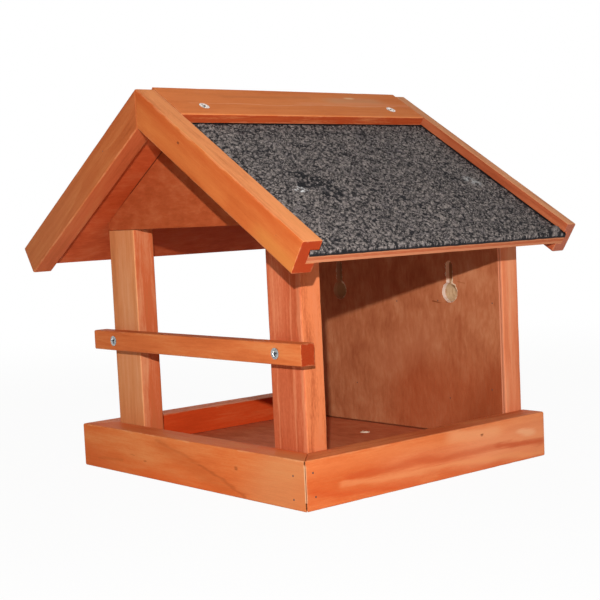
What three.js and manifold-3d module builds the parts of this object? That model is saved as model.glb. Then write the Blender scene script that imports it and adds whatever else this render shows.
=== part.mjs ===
// A wall-hung bird table: a grooved and mitred tray, four posts, a keyholed back panel, a perch rail
// and a felted roof whose sheets are seated in grooved barge boards. Millimetres, +Z up, front at -Y.
import * as THREE from "three";
import { mergeVertices } from "three/addons/utils/BufferGeometryUtils.js";
import Module from "manifold-3d";

// Fits
const fit_gap = 0.3;
const cut_overrun = 5;
const arris_radius = 1.4;
const arris_steps = 3;

// Tray
const tray_width = 280;
const tray_depth = 250;
const tray_board_height = 35;
const tray_board_thickness = 22;
const tray_groove_depth = 7;
const floor_height = 8;
const floor_thickness = 6;
const drain_hole_diameter = 8;
const drain_hole_from_rear = 62;

// Posts, rail and panels
const post_width = 36;
const post_depth = 19;
const rear_rail_height = 40;
const hanging_rail_foot_height = 114;
const hanging_rail_height = 50;
const back_panel_foot_gap = 0.8;
const back_panel_thickness = 4;
const gable_panel_thickness = 4;
const gable_panel_edge_height = 5.7;

// Keyholes: height from the underside of the tray, and how far in from a rear post's inner face
const keyhole_from_post = 16;
const keyhole_height = 130;
const keyhole_diameter = 16.5;
const keyhole_slot_width = 7;
const keyhole_slot_rise = 22;
const keyhole_steps = 24;

// Roof: it rests on the posts and overhangs the tray at the front and at both eaves
const post_outer_height = 198.7;
const roof_pitch_degrees = 32.5;
const roof_eave_overhang = 36.3;
const roof_front_overhang = 24;
const felt_thickness = 3.1;
const roof_sheet_thickness = 6;

// Barge boards
const barge_height = 24;
const barge_flange_height = 7;
const front_barge_thickness = 17;
const front_barge_web = 9.5;
const rear_barge_flange_thickness = 10;
const rear_barge_lip_thickness = 13.5;
const rear_barge_web = 6.5;

// Ridge boards and their screws
const ridge_board_thickness = 7;
const ridge_board_reach = 38;
const ridge_screw_reach = 24.7;
const ridge_screw_length = 14.5;
const ridge_screw_from_front = 22;
const ridge_screw_from_rear = 37;

// Perch rail and its screws
const perch_end_inset = 10;
const perch_height = 15.5;
const perch_thickness = 12;
const perch_underside_height = 96.5;
const perch_screw_from_post_edge = 16;
const perch_screw_length = 26;

// Countersunk screws
const screw_head_diameter = 8;
const screw_head_rise = 0.5;
const screw_cone_height = 2.4;
const screw_shank_diameter = 3.5;
const screw_point_length = 4;
const screw_crown_share = 0.6;
const screw_sides = 20;

// Worked-out sizes. A roof level is a depth below the barge boards' top face, square to the slope.
const roof_pitch = THREE.MathUtils.degToRad(roof_pitch_degrees);
const tray_half = tray_width / 2;
const tray_inner_half = tray_half - tray_board_thickness;
const floor_top = floor_height + floor_thickness;
const post_inner_half = tray_inner_half - post_width;
const rear_post_face = tray_depth - post_depth;
const felt_top = barge_flange_height + fit_gap;
const sheet_top = felt_top + felt_thickness + fit_gap;
const sheet_underside = sheet_top + roof_sheet_thickness;
const ridge_board_underside = felt_top - fit_gap;
const ridge_board_top = ridge_board_underside - ridge_board_thickness;
const post_top = sheet_underside + fit_gap;
const roof_rise = tray_inner_half * Math.tan(roof_pitch);
const ridge_height = post_outer_height + roof_rise + post_top / Math.cos(roof_pitch);
const slope_length = (tray_half + roof_eave_overhang) / Math.cos(roof_pitch);
const gable_panel_foot_height = post_outer_height - gable_panel_edge_height;
const keyhole_middle = post_inner_half - keyhole_from_post;
const barge_groove_foot = sheet_underside + fit_gap;
const front_barge_face = -roof_front_overhang;
const front_barge_back = front_barge_face + front_barge_thickness;
const rear_barge_front = tray_depth - rear_barge_flange_thickness;
const perch_face = tray_board_thickness - perch_thickness;
const perch_middle_height = perch_underside_height + perch_height / 2;
const perch_half = tray_half - perch_end_inset;
const perch_screw_middle = tray_inner_half - perch_screw_from_post_edge;

const wasm = await Module();
wasm.setup();

// Finishes
function finish(color, roughness, metalness = 0) {
  return new THREE.MeshStandardMaterial({ color, roughness, metalness });
}
const stained_rich = () => finish(0xc86f3a, 0.55);
const stained_pale = () => finish(0xd98350, 0.55);
const stained_dark = () => finish(0xa5613c, 0.6);
const mineral_felt = () => finish(0x4a4646, 0.95);
const zinc_plate = () => finish(0xb8b8b4, 0.35, 0.9);

// Solids
function to_solid(geometry) {
  const bare = geometry.clone();
  bare.deleteAttribute("normal");
  bare.deleteAttribute("uv");
  const merged = mergeVertices(bare);
  const corners = merged.index.array;
  const kept = [];
  for (let i = 0; i < corners.length; i += 3) {
    const [a, b, c] = corners.slice(i, i + 3);
    if (a !== b && b !== c && c !== a) kept.push(a, b, c);
  }
  return new wasm.Manifold(new wasm.Mesh({
    numProp: 3,
    vertProperties: new Float32Array(merged.attributes.position.array),
    triVerts: new Uint32Array(kept),
  }));
}

function to_geometry(solid) {
  const mesh = solid.getMesh();
  const geometry = new THREE.BufferGeometry();
  geometry.setAttribute("position", new THREE.BufferAttribute(new Float32Array(mesh.vertProperties), 3));
  geometry.setIndex(new THREE.BufferAttribute(new Uint32Array(mesh.triVerts), 1));
  return geometry;
}

function cut(geometry, ...tools) {
  return to_geometry(tools.reduce((solid, tool) => solid.subtract(to_solid(tool)), to_solid(geometry)));
}

function common(geometry, other) {
  return to_geometry(to_solid(geometry).intersect(to_solid(other)));
}

// The left-hand twin of a right-hand piece: x changes sign and every face is turned to look outward again
function mirrored(geometry) {
  const twin = mergeVertices(geometry.clone().scale(-1, 1, 1));
  const index = twin.index.array;
  for (let corner = 0; corner < index.length; corner += 3) {
    [index[corner], index[corner + 1]] = [index[corner + 1], index[corner]];
  }
  return twin;
}

// Outlines: a list of points, each [across, up] or [across, up, radius] for a rounded corner
function outline(points) {
  const shape = new THREE.Shape();
  points.forEach(([x, y, radius = 0], i) => {
    const corner = new THREE.Vector2(x, y);
    if (radius === 0) {
      shape[i === 0 ? "moveTo" : "lineTo"](x, y);
      return;
    }
    const toward = ([u, v]) => new THREE.Vector2(u, v).sub(corner).setLength(radius).add(corner);
    const start = toward(points.at(i - 1));
    const end = toward(points[(i + 1) % points.length]);
    shape[i === 0 ? "moveTo" : "lineTo"](start.x, start.y);
    shape.quadraticCurveTo(x, y, end.x, end.y);
  });
  return shape;
}

function extrude(shape, depth, steps = arris_steps) {
  return new THREE.ExtrudeGeometry(shape, { depth, bevelEnabled: false, curveSegments: steps });
}

const axis = {
  x: new THREE.Vector3(1, 0, 0),
  y: new THREE.Vector3(0, 1, 0),
  z: new THREE.Vector3(0, 0, 1),
};
const turn = (across, up, along) => new THREE.Matrix4().makeBasis(across, up, along);

// A section drawn as [y, z] runs along x, one drawn as [depth inward, z] runs along y,
// and an elevation drawn as [x, z] runs back along y
function run_along_x(shape, from, to) {
  return extrude(shape, to - from).applyMatrix4(turn(axis.y, axis.z, axis.x)).translate(from, 0, 0);
}

function run_along_y(shape, from, to) {
  const inward = axis.x.clone().negate();
  return extrude(shape, to - from).applyMatrix4(turn(inward, axis.z, axis.y)).translate(0, from, 0);
}

function elevation(shape, from, to, steps) {
  const forward = axis.y.clone().negate();
  return extrude(shape, to - from, steps).applyMatrix4(turn(axis.x, axis.z, forward)).translate(0, to, 0);
}

function block(x0, x1, y0, y1, z0, z1) {
  const box = new THREE.BoxGeometry(x1 - x0, y1 - y0, z1 - z0);
  return box.translate((x0 + x1) / 2, (y0 + y1) / 2, (z0 + z1) / 2);
}

// The height of a roof level over a place x, and the place of the plumb cut at the ridge on that level
function roof_height(x, level) {
  return ridge_height - Math.abs(x) * Math.tan(roof_pitch) - level / Math.cos(roof_pitch);
}

function plumb_cut(level) {
  return level * Math.tan(roof_pitch) + fit_gap / 2 / Math.cos(roof_pitch);
}

// Groups
const bird_table = new THREE.Group();
const table = new THREE.Group();
table.position.y = (roof_front_overhang - tray_depth) / 2;
bird_table.add(table);
const slope_right = new THREE.Group();
slope_right.position.z = ridge_height;
slope_right.rotation.y = roof_pitch;
const slope_left = new THREE.Group();
slope_left.position.z = ridge_height;
slope_left.rotation.y = -roof_pitch;
table.add(slope_right, slope_left);

function add(name, geometry, material, parent = table) {
  const mesh = new THREE.Mesh(geometry, material);
  mesh.name = name;
  geometry.computeVertexNormals();
  parent.add(mesh);
  return mesh;
}

function add_pair(name, geometry, material, right = table, left = table) {
  add(`${name}_right`, geometry, material(), right);
  add(`${name}_left`, mirrored(geometry), material(), left);
}

// Tray boards: a section with eased arrises and a groove that takes the floor
function tray_section() {
  const groove_foot = floor_height - fit_gap;
  const groove_head = floor_top + fit_gap;
  const groove_back = tray_board_thickness - tray_groove_depth;
  return outline([
    [0, 0, arris_radius],
    [tray_board_thickness, 0, arris_radius],
    [tray_board_thickness, groove_foot],
    [groove_back, groove_foot],
    [groove_back, groove_head],
    [tray_board_thickness, groove_head],
    [tray_board_thickness, tray_board_height, arris_radius],
    [0, tray_board_height, arris_radius],
  ]);
}

function plan_prism(points) {
  return extrude(outline(points), tray_board_height + 2 * cut_overrun).translate(0, 0, -cut_overrun);
}

function tray_board_front() {
  const long = run_along_x(tray_section(), -tray_half, tray_half);
  return common(long, plan_prism([
    [-tray_half - cut_overrun, -cut_overrun],
    [tray_half + cut_overrun, -cut_overrun],
    [tray_inner_half, tray_board_thickness],
    [tray_inner_half, tray_board_thickness + cut_overrun],
    [-tray_inner_half, tray_board_thickness + cut_overrun],
    [-tray_inner_half, tray_board_thickness],
  ]));
}

function tray_board_right() {
  const mitre_gap = fit_gap * Math.SQRT2;
  const long = run_along_y(tray_section(), 0, tray_depth).translate(tray_half, 0, 0);
  return common(long, plan_prism([
    [tray_half + cut_overrun, mitre_gap - cut_overrun],
    [tray_half + cut_overrun, tray_depth + cut_overrun],
    [tray_inner_half - cut_overrun, tray_depth + cut_overrun],
    [tray_inner_half - cut_overrun, tray_board_thickness + mitre_gap + cut_overrun],
  ]));
}

function tray_floor() {
  const half = tray_inner_half + tray_groove_depth - fit_gap;
  const front = tray_board_thickness - tray_groove_depth + fit_gap;
  const sheet = outline([[-half, front], [half, front], [half, tray_depth], [-half, tray_depth]]);
  const hole = new THREE.Path();
  hole.absarc(0, tray_depth - drain_hole_from_rear, drain_hole_diameter / 2, 0, 2 * Math.PI);
  sheet.holes.push(hole);
  return extrude(sheet, floor_thickness, keyhole_steps).translate(0, 0, floor_height);
}

add("tray_board_front", tray_board_front(), stained_rich());
add_pair("tray_board", tray_board_right(), stained_pale);
add("tray_floor", tray_floor(), stained_dark());
add("rear_rail", block(
  -post_inner_half + fit_gap, post_inner_half - fit_gap,
  rear_post_face, tray_depth,
  floor_top, floor_top + rear_rail_height,
), stained_dark());

// Posts: eased arrises, tops cut to the slope under the roof sheets
function post(front) {
  const back = front + post_depth;
  const plan = outline([
    [post_inner_half, front, arris_radius],
    [tray_inner_half, front, arris_radius],
    [tray_inner_half, back, arris_radius],
    [post_inner_half, back, arris_radius],
  ]);
  const upright = extrude(plan, ridge_height - floor_top).translate(0, 0, floor_top);
  return cut(upright, roof_space(post_top, front - cut_overrun, back + cut_overrun));
}

// Everything above a roof level on the right of the ridge, between two places along the ridge
function roof_space(level, from, to) {
  const eave = slope_length;
  return elevation(outline([
    [0, roof_height(0, level)],
    [eave, roof_height(eave, level)],
    [eave, ridge_height + cut_overrun],
    [0, ridge_height + cut_overrun],
  ]), from, to);
}

function front_post() {
  const front = tray_board_thickness;
  const rebate = block(
    post_inner_half - cut_overrun, tray_inner_half + cut_overrun,
    front - cut_overrun, front + gable_panel_thickness,
    gable_panel_foot_height - fit_gap, ridge_height + cut_overrun,
  );
  const bore = screw_bore(perch_screw_length).rotateX(Math.PI / 2)
    .translate(perch_screw_middle, perch_face, perch_middle_height);
  return cut(post(front), rebate, bore);
}

function rear_post() {
  const lip_front = tray_depth - rear_barge_lip_thickness - fit_gap;
  return cut(post(rear_post_face), roof_space(barge_height + fit_gap, lip_front, tray_depth + cut_overrun));
}

// Screws: a countersunk head whose face is at the origin, with the shank running down -z
function screw(length) {
  const shank = screw_shank_diameter / 2;
  const head = screw_head_diameter / 2;
  const profile = [
    [0, -length],
    [shank, screw_point_length - length],
    [shank, -screw_cone_height],
    [head, 0],
    [head * screw_crown_share, screw_head_rise],
    [0, screw_head_rise],
  ];
  return new THREE.LatheGeometry(profile.map(([r, z]) => new THREE.Vector2(r, z)), screw_sides)
    .rotateX(Math.PI / 2);
}

function screw_bore(length) {
  const shank = screw_shank_diameter / 2 + fit_gap;
  const head = screw_head_diameter / 2 + fit_gap;
  const profile = [
    [0, -length - fit_gap],
    [shank, -length - fit_gap],
    [shank, -screw_cone_height],
    [head, 0],
    [head, cut_overrun],
    [0, cut_overrun],
  ];
  return new THREE.LatheGeometry(profile.map(([r, z]) => new THREE.Vector2(r, z)), screw_sides)
    .rotateX(Math.PI / 2);
}

add_pair("post_front", front_post(), stained_rich);
add_pair("post_rear", rear_post(), stained_rich);

// Panels: plywood with a gabled head under the sheets
function gabled_outline(half_width, foot) {
  const shoulder = roof_height(half_width, post_top);
  return outline([
    [-half_width, foot],
    [half_width, foot],
    [half_width, shoulder],
    [0, roof_height(0, post_top)],
    [-half_width, shoulder],
  ]);
}

function keyhole(x) {
  const radius = keyhole_diameter / 2;
  const slot = keyhole_slot_width / 2;
  const meet = Math.asin(slot / radius);
  const hole = new THREE.Path();
  hole.absarc(x, keyhole_height, radius, Math.PI / 2 + meet, Math.PI / 2 - meet + 2 * Math.PI);
  hole.absarc(x, keyhole_height + keyhole_slot_rise, slot, 0, Math.PI);
  hole.closePath();
  return hole;
}

function with_keyholes(face, front, back) {
  face.holes.push(keyhole(-keyhole_middle), keyhole(keyhole_middle));
  return elevation(face, front, back, keyhole_steps);
}

function back_panel() {
  const face = gabled_outline(tray_inner_half - fit_gap, floor_top + back_panel_foot_gap);
  return with_keyholes(face, rear_post_face - back_panel_thickness, rear_post_face);
}

// The rail behind the panel: each keyhole runs on through it, so wall screws bear on the whole depth
function hanging_rail() {
  const half = post_inner_half - fit_gap;
  const head = hanging_rail_foot_height + hanging_rail_height;
  const face = outline([
    [-half, hanging_rail_foot_height],
    [half, hanging_rail_foot_height],
    [half, head],
    [-half, head],
  ]);
  return with_keyholes(face, rear_post_face, tray_depth);
}

function gable_panel() {
  const front = tray_board_thickness;
  const face = gabled_outline(tray_inner_half, gable_panel_foot_height);
  return elevation(face, front, front + gable_panel_thickness);
}

add("back_panel", back_panel(), stained_dark());
add("hanging_rail", hanging_rail(), stained_dark());
add("gable_panel", gable_panel(), stained_dark());

// On a slope x runs down from the ridge, z stands square to the roof, and a level is a depth below z = 0,
// the top face of the barge boards and ridge boards
function ridge_screw_places() {
  const along_ridge = [ridge_screw_from_front, tray_depth - ridge_screw_from_rear];
  return along_ridge.map((y) => new THREE.Vector3(ridge_screw_reach, y, -ridge_board_top));
}

function ridge_screw_bores() {
  return ridge_screw_places().map(({ x, y, z }) => screw_bore(ridge_screw_length).translate(x, y, z));
}

// Roof sheets and felt: plumb cut at the ridge, their ends seated in the barge boards' grooves

function slope_layer(top, thickness) {
  const front = front_barge_face + front_barge_web + fit_gap;
  const back = tray_depth - rear_barge_web - fit_gap;
  const layer = elevation(outline([
    [plumb_cut(top), -top],
    [plumb_cut(top + thickness), -top - thickness],
    [slope_length, -top - thickness],
    [slope_length, -top],
  ]), front, back);
  return cut(layer, ...ridge_screw_bores());
}

function add_slope_pair(name, geometry, material) {
  add_pair(name, geometry, material, slope_right, slope_left);
}

add_slope_pair("roof_sheet", slope_layer(sheet_top, roof_sheet_thickness), stained_dark);
add_slope_pair("roof_felt", slope_layer(felt_top, felt_thickness), mineral_felt);

// Barge boards: a grooved section, mitred plumb at the ridge and cut square at the foot
function barge_board(section, front, back) {
  const top = -cut_overrun;
  const foot = barge_height + cut_overrun;
  const long = run_along_x(section, plumb_cut(top) - cut_overrun, slope_length);
  return common(long, elevation(outline([
    [plumb_cut(top), -top],
    [plumb_cut(foot), -foot],
    [slope_length + cut_overrun, -foot],
    [slope_length + cut_overrun, -top],
  ]), front - cut_overrun, back + cut_overrun));
}

function barge_front() {
  const groove_back = front_barge_face + front_barge_web;
  return barge_board(outline([
    [front_barge_face, 0, arris_radius],
    [front_barge_face, -barge_height, arris_radius],
    [front_barge_back, -barge_height, arris_radius],
    [front_barge_back, -barge_groove_foot],
    [groove_back, -barge_groove_foot],
    [groove_back, -barge_flange_height],
    [front_barge_back, -barge_flange_height],
    [front_barge_back, 0],
  ]), front_barge_face, front_barge_back);
}

function barge_rear() {
  const lip_front = tray_depth - rear_barge_lip_thickness;
  const groove_back = tray_depth - rear_barge_web;
  return barge_board(outline([
    [rear_barge_front, 0],
    [rear_barge_front, -barge_flange_height],
    [groove_back, -barge_flange_height],
    [groove_back, -barge_groove_foot],
    [lip_front, -barge_groove_foot],
    [lip_front, -barge_height, arris_radius],
    [tray_depth, -barge_height, arris_radius],
    [tray_depth, 0, arris_radius],
  ]), lip_front, tray_depth);
}

add_slope_pair("barge_front", barge_front(), stained_pale);
add_slope_pair("barge_rear", barge_rear(), stained_pale);

// Ridge boards: the right one laps over the left one, whose head is cut to lie under it
function lapped_head(level) {
  const under = ridge_board_underside + fit_gap;
  return (under - level * Math.cos(2 * roof_pitch)) / Math.sin(2 * roof_pitch);
}

function ridge_board(head_at_top, head_at_foot) {
  const section = outline([
    [head_at_top, -ridge_board_top],
    [head_at_foot, -ridge_board_underside],
    [ridge_board_reach, -ridge_board_underside],
    [ridge_board_reach, -ridge_board_top, arris_radius],
  ]);
  const long = elevation(section, front_barge_back + fit_gap, rear_barge_front - fit_gap);
  return cut(long, ...ridge_screw_bores());
}

// The square head of the right board ends over the upper corner of the left one
function lapping_head() {
  const corner = lapped_head(ridge_board_top);
  return ridge_board_top * Math.sin(2 * roof_pitch) - corner * Math.cos(2 * roof_pitch);
}

const lapping_board = ridge_board(lapping_head(), lapping_head());
const lapped_board = ridge_board(lapped_head(ridge_board_top), lapped_head(ridge_board_underside));
add("ridge_board_right", lapping_board, stained_pale(), slope_right);
add("ridge_board_left", mirrored(lapped_board), stained_pale(), slope_left);

ridge_screw_places().forEach((place, i) => {
  const end = i === 0 ? "front" : "rear";
  for (const [side, hand, slope] of [[1, "right", slope_right], [-1, "left", slope_left]]) {
    const fixing = add(`ridge_screw_${hand}_${end}`, screw(ridge_screw_length), zinc_plate(), slope);
    fixing.position.set(side * place.x, place.y, place.z);
  }
});

// Perch rail across the front posts, held by a screw into each
function perch_screw_place(side) {
  return new THREE.Vector3(side * perch_screw_middle, perch_face, perch_middle_height);
}

function perch_rail() {
  const head = perch_underside_height + perch_height;
  const section = outline([
    [perch_face, perch_underside_height, arris_radius],
    [tray_board_thickness, perch_underside_height],
    [tray_board_thickness, head],
    [perch_face, head, arris_radius],
  ]);
  const bores = [-1, 1].map((side) => {
    const place = perch_screw_place(side);
    return screw_bore(perch_screw_length).rotateX(Math.PI / 2).translate(place.x, place.y, place.z);
  });
  return cut(run_along_x(section, -perch_half, perch_half), ...bores);
}

add("perch_rail", perch_rail(), stained_pale());
for (const [side, hand] of [[1, "right"], [-1, "left"]]) {
  const fixing = add(`perch_screw_${hand}`, screw(perch_screw_length), zinc_plate());
  fixing.rotation.x = Math.PI / 2;
  fixing.position.copy(perch_screw_place(side));
}

export default bird_table;
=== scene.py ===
import functools
import math

import bmesh
import bpy
import numpy as np
from mathutils import Matrix, Vector, noise


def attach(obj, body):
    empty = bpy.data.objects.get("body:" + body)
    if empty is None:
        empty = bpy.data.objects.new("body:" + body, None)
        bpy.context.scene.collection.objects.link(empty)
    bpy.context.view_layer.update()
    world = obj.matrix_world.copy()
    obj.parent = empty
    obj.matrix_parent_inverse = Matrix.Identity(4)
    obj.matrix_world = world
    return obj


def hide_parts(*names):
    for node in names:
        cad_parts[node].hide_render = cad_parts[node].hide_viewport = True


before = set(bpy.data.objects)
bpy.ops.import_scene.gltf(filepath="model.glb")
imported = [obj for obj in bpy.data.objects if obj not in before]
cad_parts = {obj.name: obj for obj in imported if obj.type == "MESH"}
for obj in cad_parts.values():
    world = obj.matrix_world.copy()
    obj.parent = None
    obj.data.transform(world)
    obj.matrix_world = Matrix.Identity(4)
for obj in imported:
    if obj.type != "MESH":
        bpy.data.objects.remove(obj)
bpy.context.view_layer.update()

MM = 0.001

# The view of the photograph
CAMERA_PLACE = (0.7914, -0.6696, 0.1991)
AZIMUTH, ELEVATION, ROLL = (math.radians(angle) for angle in (50.09, 5.40, -2.75))
FRAME_PIXELS = 600
FOCAL_PIXELS = 1304.5
CENTRE_PIXELS = (-15, 38)
SENSOR_MM = 36

# Joinery sizes that the frame doesn't give by a box
PITCH = math.radians(32.5)
RIDGE_HEIGHT = 294.03
KEYHOLE_PLACES = (-66, 66)
KEYHOLE_HEIGHT = 130
KEYHOLE_RADIUS = 8.25
KEYHOLE_SLOT = 3.5
KEYHOLE_RISE = 25.5
DRAIN_HOLE = (0, 75)
DRAIN_HOLE_RADIUS = 4
# Faces that carry marks, brads or fibres
TRAY_FRONT = -113
TRAY_SIDE = 140
POST_FRONT = -91
BARGE_FRONT = -137
PANEL_FRONT = 114
FLOOR_TOP = 14
SHEET_UNDERSIDE = 16.7

# The pieces' own directions
X, Y, Z = Vector((1, 0, 0)), Vector((0, 1, 0)), Vector((0, 0, 1))
SIDES = {"right": 1, "left": -1}
DOWN = {side: Vector((sign * math.cos(PITCH), 0, -math.sin(PITCH))) for side, sign in SIDES.items()}
OUT = {side: Vector((sign * math.sin(PITCH), 0, math.cos(PITCH))) for side, sign in SIDES.items()}
RIDGE_TOP = Vector((0, 0, RIDGE_HEIGHT))


def on_slope(side, down, y, level):
    """A point of the roof: how far down the slope, how far back, and how far below the outer surface."""
    return RIDGE_TOP + DOWN[side] * down + Y * y - OUT[side] * level


def linked(name, data):
    made = bpy.data.objects.new(name, data)
    bpy.context.scene.collection.objects.link(made)
    return made


def camera():
    data = bpy.data.cameras.new("view_of_the_photograph")
    made = linked(data.name, data)
    forward = Vector((-math.sin(AZIMUTH) * math.cos(ELEVATION),
                      math.cos(AZIMUTH) * math.cos(ELEVATION), -math.sin(ELEVATION)))
    turned = forward.to_track_quat("-Z", "Y").to_matrix() @ Matrix.Rotation(ROLL, 3, "Z")
    made.matrix_world = Matrix.Translation(CAMERA_PLACE) @ turned.to_4x4()
    data.sensor_width = SENSOR_MM
    data.lens = FOCAL_PIXELS / FRAME_PIXELS * SENSOR_MM
    data.shift_x = -CENTRE_PIXELS[0] / FRAME_PIXELS
    data.shift_y = CENTRE_PIXELS[1] / FRAME_PIXELS
    bpy.context.scene.camera = made


camera()


# Shader maths
class Number:
    """A number that varies over a surface. Python's operators add Math nodes."""

    def __init__(self, nodes, socket):
        self.nodes, self.socket = nodes, socket

    def operator(operation):
        return lambda self, *other: self.nodes.math(operation, self, *other)

    __add__ = __radd__ = operator("ADD")
    __mul__ = __rmul__ = operator("MULTIPLY")
    __sub__ = operator("SUBTRACT")
    __truediv__ = operator("DIVIDE")
    __abs__ = operator("ABSOLUTE")

    def __rsub__(self, other):
        return self.nodes.math("SUBTRACT", other, self)


class Nodes:
    """A node tree, with one method that adds any node."""

    def __init__(self, tree):
        self.tree = tree

    def node(self, kind, settings=None, sockets=None):
        made = self.tree.nodes.new(kind)
        for name, value in (settings or {}).items():
            setattr(made, name, value)
        for name, value in (sockets or {}).items():
            self.feed(made.inputs[name], value)
        return made

    def feed(self, socket, value):
        if isinstance(value, Number):
            value = value.socket
        if isinstance(value, bpy.types.NodeSocket):
            self.tree.links.new(value, socket)
        else:
            socket.default_value = value

    def math(self, operation, *values):
        made = self.node("ShaderNodeMath", {"operation": operation}, dict(enumerate(values)))
        return Number(self, made.outputs[0])

    root = functools.partialmethod(math, "SQRT")
    least = functools.partialmethod(math, "MINIMUM")
    most = functools.partialmethod(math, "MAXIMUM")

    def vector(self, operation, *values, output="Vector"):
        made = self.node("ShaderNodeVectorMath", {"operation": operation}, dict(enumerate(values)))
        return made.outputs[output]

    def measure(self, operation, *values):
        """A dot product, distance or length."""
        return Number(self, self.vector(operation, *values, output="Value"))

    def scaled(self, direction, value):
        sockets = {0: direction, "Scale": value}
        return self.node("ShaderNodeVectorMath", {"operation": "SCALE"}, sockets).outputs[0]

    def place(self, x, y, z):
        return self.node("ShaderNodeCombineXYZ", None, {"X": x, "Y": y, "Z": z}).outputs[0]

    def mix(self, share, a, b):
        return self.node("ShaderNodeMix", {"data_type": "RGBA"}, {0: share, 6: a, 7: b}).outputs[2]

    def rise(self, value, low, high, curve="SMOOTHSTEP"):
        """0 at low and 1 at high, also where low is the greater."""
        sockets = {"Value": value, "From Min": low, "From Max": high}
        made = self.node("ShaderNodeMapRange", {"interpolation_type": curve}, sockets)
        return Number(self, made.outputs[0])

    def noise(self, place, scale=1.0, detail=3.0, roughness=0.5):
        """Noise about zero, with most of it between -0.2 and 0.2."""
        sockets = {"Vector": place, "Scale": scale, "Detail": detail, "Roughness": roughness}
        return Number(self, self.node("ShaderNodeTexNoise", None, sockets).outputs["Fac"]) - 0.5

    def noise_at(self, x, y, z, detail, roughness):
        return self.noise(self.place(x, y, z), 1.0, detail, roughness)

    def ray(self, *kinds):
        """1 for rays of these kinds, 0 for the rest."""
        path = self.node("ShaderNodeLightPath")
        return functools.reduce(self.most, [Number(self, path.outputs[kind]) for kind in kinds])


class Finish(Nodes):
    """One material, with the surface's place in millimetres and its true normal."""

    def __init__(self, name):
        self.material = bpy.data.materials.new(name)
        self.material.use_nodes = True
        super().__init__(self.material.node_tree)
        self.shader = self.tree.nodes["Principled BSDF"]
        spot = self.node("ShaderNodeTexCoord").outputs["Object"]
        self.spot = self.vector("MULTIPLY", spot, (1000, 1000, 1000))
        self.facing = self.node("ShaderNodeNewGeometry").outputs["True Normal"]

    def along(self, direction):
        return self.measure("DOT_PRODUCT", self.spot, direction)

    def faces(self, direction):
        return abs(self.measure("DOT_PRODUCT", self.facing, direction))

    def layer(self, name):
        """A number that the mesh carries at each point."""
        return Number(self, self.node("ShaderNodeAttribute", {"attribute_name": name}).outputs["Fac"])

    def wobbled(self, scale, amount):
        """The surface's place, shaken by noise."""
        shake = self.node("ShaderNodeTexNoise", None, {"Vector": self.spot, "Scale": scale, "Detail": 3.0})
        shake = self.vector("SUBTRACT", shake.outputs["Color"], (0.5, 0.5, 0.5))
        return self.vector("ADD", self.spot, self.vector("MULTIPLY", shake, (amount, amount, amount)))

    def away(self, place, points):
        """How far a place is from a dot, or from a line through several points."""
        nearest = None
        for start, end in zip(points, points[1:] or points):
            start, end = Vector(start), Vector(end)
            reach = (end - start).length
            gap = self.measure("DISTANCE", place, start)
            if reach:
                heading = (end - start) / reach
                offset = self.vector("SUBTRACT", place, start)
                share = self.most(self.least(self.measure("DOT_PRODUCT", offset, heading), reach), 0.0)
                gap = self.measure("DISTANCE", offset, self.scaled(heading, share))
            nearest = self.least(nearest, gap) if nearest else gap
        return nearest

    def toned(self, colour, tint, pale, deep):
        """The pale tone comes in as the tint rises to 1, and the deep one as it falls to -1."""
        colour = self.mix(self.rise(tint, 0.0, 1.0, "LINEAR"), colour, pale)
        return self.mix(self.rise(tint, 0.0, -1.0, "LINEAR"), colour, deep)

    def marked(self, colour, marks, place):
        """The colour with knots, streaks, dents, stains and patches of painted shade laid over it."""
        for points, radius, shade, strength in marks:
            share = self.rise(self.away(place, points), radius, radius * 0.1) * strength
            colour = self.mix(share, colour, srgb(shade))
        return colour

    def surface(self, colour, roughness, height, depth, **constants):
        self.feed(self.shader.inputs["Base Color"], colour)
        self.feed(self.shader.inputs["Roughness"], roughness)
        bump = self.node("ShaderNodeBump", None, {"Height": height, "Strength": 1.0, "Distance": depth})
        self.feed(self.shader.inputs["Normal"], bump.outputs[0])
        for name, value in constants.items():
            self.shader.inputs[name.replace("_", " ")].default_value = value
        return self.material


def srgb(code):
    """A colour written as six hex digits, as the linear colour that a shader takes."""
    parts = [int(code[i:i + 2], 16) / 255 for i in (0, 2, 4)]
    linear = [c / 12.92 if c <= 0.04045 else ((c + 0.055) / 1.055) ** 2.4 for c in parts]
    return (*linear, 1.0)


# Mid, pale and deep tones of the stain, its tone on the sides of a board, and on end grain
TONES = {
    "amber": ("d6703a", "df9056", "bd5626", "d86f3f", "b8471d"),
    "bright": ("d66d3a", "ec9c62", "bd4b20", "c8663c", "c9481c"),
    "barge": ("c06432", "d1864a", "a94c20", "f09a62", "a3341c"),
    "umber": ("b35f34", "c47a48", "984822", "bf5e38", "a8461f"),
    "shaded": ("ab5636", "c2704a", "8f4024", "e8a376", "b8705a"),
    "tan": ("d08655", "dda075", "b56c40", "c5643c", "a8461f"),
    "rose": ("bf6240", "d5835c", "a34a2a", "d87c4e", "a8461f"),
    "peach": ("df845b", "eba67c", "c4673f", "e0845b", "b04e28"),
    "ridge": ("e3834a", "ee9c62", "c86434", "b04825", "b04d2a"),
    "ember": ("c4461e", "d0673a", "a93613", "e8926a", "9c3413"),
    "perch": ("cd6e3c", "da8c54", "b2552a", "cd7040", "96270f"),
}
# Mid, pale and deep tones of the veneer, and its tone on the edges of a sheet
PLY_TONES = {
    "panel": ("b06a46", "c2835d", "964f30", "dc8c6a"),
    "gable": ("a9502c", "b8653e", "93401f", "b8653e"),
    "floor": ("c86f4a", "d2865c", "b05c3a", "c86f4a"),
    "roof": ("c85c34", "d4764c", "ab4624", "c8805c"),
}
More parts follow.
